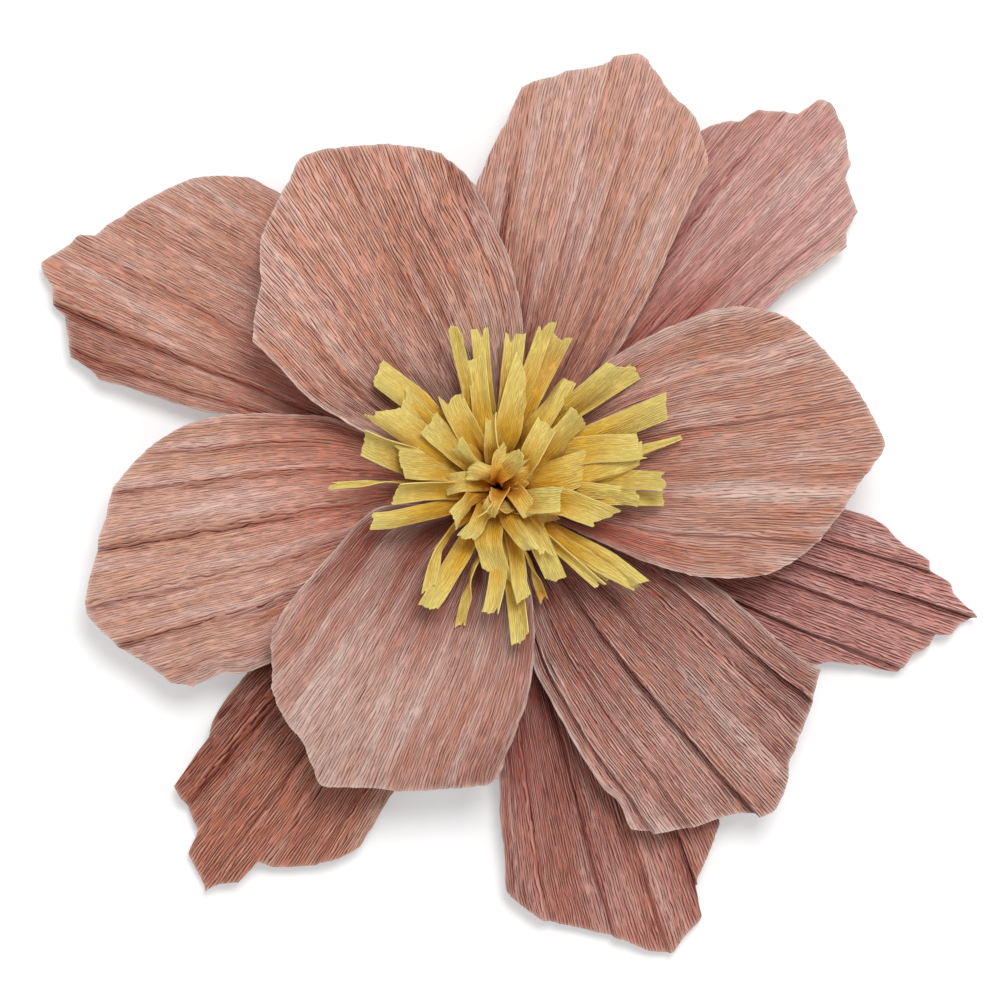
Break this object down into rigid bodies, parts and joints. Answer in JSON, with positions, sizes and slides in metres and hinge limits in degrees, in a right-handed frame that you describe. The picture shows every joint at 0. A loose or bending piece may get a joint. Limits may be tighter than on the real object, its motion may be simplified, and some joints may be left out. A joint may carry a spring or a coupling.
{
  "type": "crepe paper flower",
  "caption": "Large open paper flower: gathered and pleated crepe petals in layers around a rolled, fringed yellow centre, glued on a flat round back.",
  "frame": {"origin": "middle of the round card's underside, under the axis of the stamen roll", "axes": "+Z out of the flower's face along the stamen roll, +Y towards the top of the picture, +X towards its right"},
  "size_m": [0.4218, 0.4026, 0.0778],
  "materials": {
    "blush_crepe": "matte crepe",
    "yellow_crepe": "matte crepe",
    "backing_card": "plain grey board",
    "binding_wire": "thin coated steel wire"
  },
  "bodies": {
    "root": {"backing_card": "backing_card", "binding_wire": "binding_wire", "stamen_fringe": "yellow_crepe", "petal_back_upper_left": "blush_crepe", "petal_back_upper_right": "blush_crepe", "petal_back_right": "blush_crepe", "petal_back_bottom": "blush_crepe", "petal_back_lower_left": "blush_crepe", "petal_middle_top": "blush_crepe", "petal_middle_left": "blush_crepe", "petal_middle_lower_right": "blush_crepe", "petal_front_upper_left": "blush_crepe", "petal_front_lower_left": "blush_crepe", "petal_front_right": "blush_crepe"}
  },
  "joints": []
}
